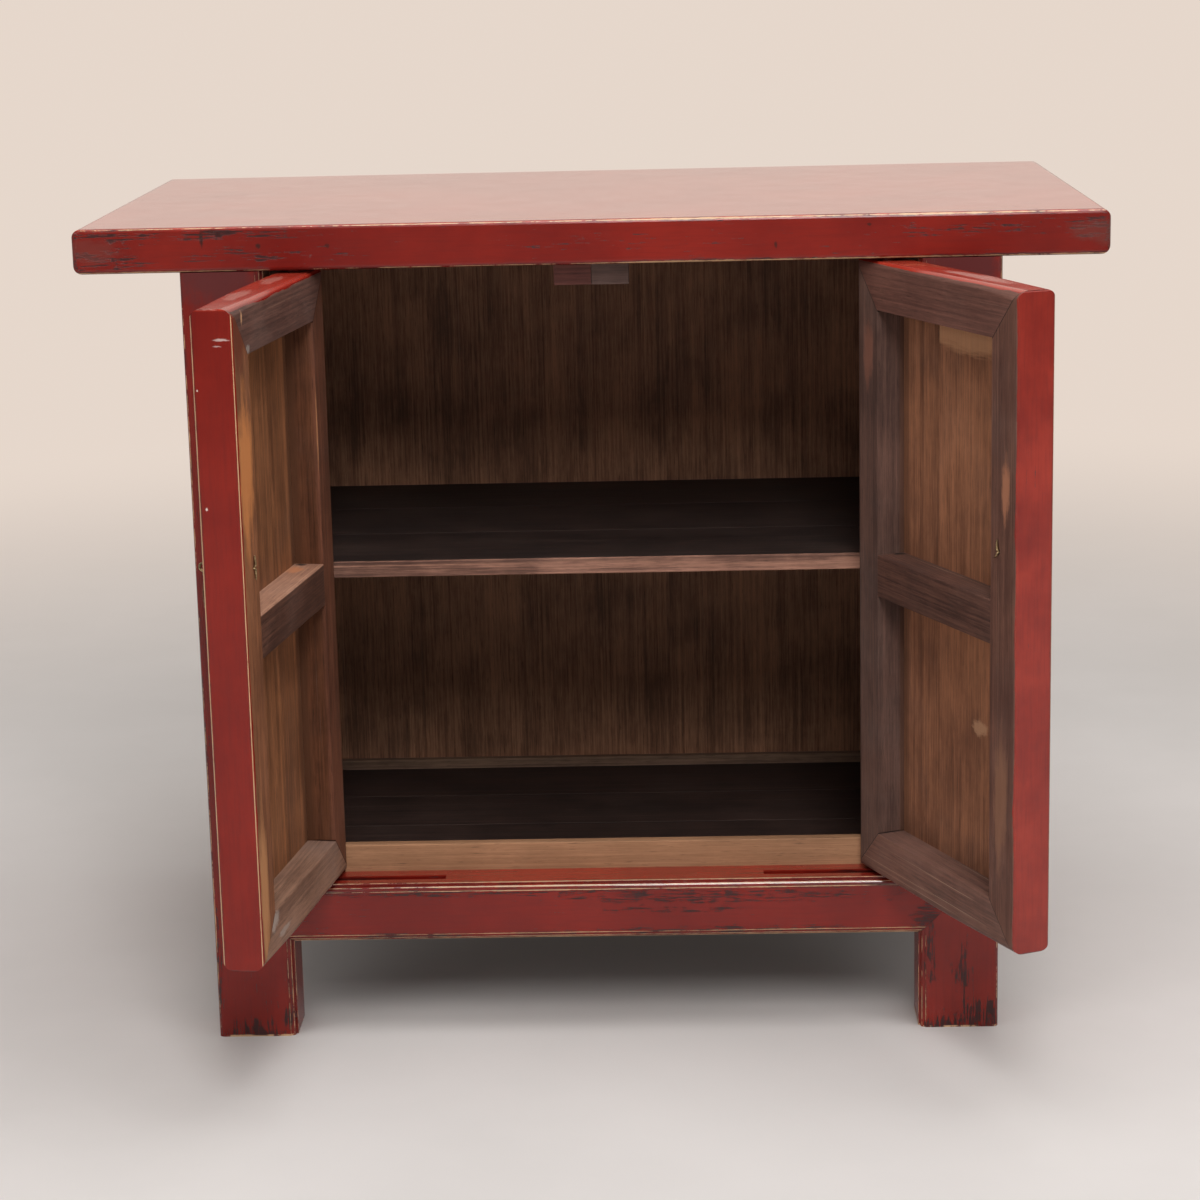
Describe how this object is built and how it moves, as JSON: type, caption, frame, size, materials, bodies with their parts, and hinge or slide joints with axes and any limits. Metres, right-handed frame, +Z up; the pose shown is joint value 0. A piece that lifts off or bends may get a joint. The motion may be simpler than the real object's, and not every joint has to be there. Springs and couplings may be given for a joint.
{
  "type": "sideboard",
  "caption": "Low wooden sideboard: thick overhanging top on four square posts, two pivoted panel doors, an inner shelf and drop pulls.",
  "frame": {"origin": "on the floor, under the middle of the box round the sideboard with its doors open as at rest", "axes": "+X to the right seen from the front, +Y to the back, +Z up"},
  "size_m": [0.96, 0.7996, 0.793],
  "materials": {
    "lacquered_board": "old red lacquer, satin, worn along the edges",
    "lacquered_frame": "old red lacquer, satin, worn to the wood on the arrises",
    "lacquered_panel": "old red lacquer, satin",
    "door_panel": "bare planks, oiled, upright grain",
    "back_wood": "dark stained boards, matt",
    "inner_wood": "dark stained boards, matt",
    "raw_wood": "raw wood, matt",
    "brass": "aged brass, satin"
  },
  "bodies": {
    "carcase": {"back_board_1": "back_wood", "back_board_2": "back_wood", "back_board_3": "back_wood", "back_board_4": "back_wood", "back_board_5": "back_wood", "back_bottom_rail": "back_wood", "back_top_rail": "back_wood", "door_stop_strip": "raw_wood", "floor_bearer": "inner_wood", "floor_board_1": "inner_wood", "floor_board_2": "inner_wood", "floor_board_3": "inner_wood", "floor_board_4": "inner_wood", "front_bottom_rail": "lacquered_frame", "left_back_post": "lacquered_frame", "left_front_post": "lacquered_frame", "left_head_stop": "raw_wood", "left_shelf_cleat": "inner_wood", "left_side_bottom_rail": "lacquered_frame", "left_side_panel": "lacquered_panel", "left_side_top_rail": "lacquered_frame", "right_back_post": "lacquered_frame", "right_front_post": "lacquered_frame", "right_head_stop": "raw_wood", "right_shelf_cleat": "inner_wood", "right_side_bottom_rail": "lacquered_frame", "right_side_panel": "lacquered_panel", "right_side_top_rail": "lacquered_frame", "shelf_board_1": "inner_wood", "shelf_board_2": "inner_wood", "shelf_board_3": "inner_wood", "top_board": "lacquered_board"},
    "left_door": {"left_door_bottom_rail": "lacquered_frame", "left_door_free_stile": "lacquered_frame", "left_door_hinge_stile": "lacquered_frame", "left_door_middle_rail": "lacquered_frame", "left_door_narrow_plank": "door_panel", "left_door_top_rail": "lacquered_frame", "left_door_wide_plank": "door_panel", "left_pull_pin": "brass", "left_pull_plate": "brass"},
    "right_door": {"right_door_bottom_rail": "lacquered_frame", "right_door_free_stile": "lacquered_frame", "right_door_hinge_stile": "lacquered_frame", "right_door_middle_rail": "lacquered_frame", "right_door_narrow_plank": "door_panel", "right_door_top_rail": "lacquered_frame", "right_door_wide_plank": "door_panel", "right_pull_pin": "brass", "right_pull_plate": "brass"},
    "left_pull": {"left_pull_leaf": "brass"},
    "right_pull": {"right_pull_leaf": "brass"}
  },
  "joints": [
    {"name": "left_door_hinge", "type": "hinge", "parent": "carcase", "child": "left_door", "pos_m": [-0.277, -0.12473, 0.452], "axis": [0, 0, 1], "range_deg": [-16, 98.5]},
    {"name": "right_door_hinge", "type": "hinge", "parent": "carcase", "child": "right_door", "pos_m": [0.277, -0.12473, 0.452], "axis": [0, 0, -1], "range_deg": [-1, 113.5]},
    {"name": "left_pull_swing", "type": "hinge", "parent": "left_door", "child": "left_pull", "pos_m": [-0.33712, -0.36398, 0.518], "axis": [0.1478, 0.989, 0], "range_deg": [-8, 110]},
    {"name": "right_pull_swing", "type": "hinge", "parent": "right_door", "child": "right_pull", "pos_m": [0.39699, -0.34026, 0.518], "axis": [0.3987, -0.9171, 0], "range_deg": [-8, 110]}
  ]
}
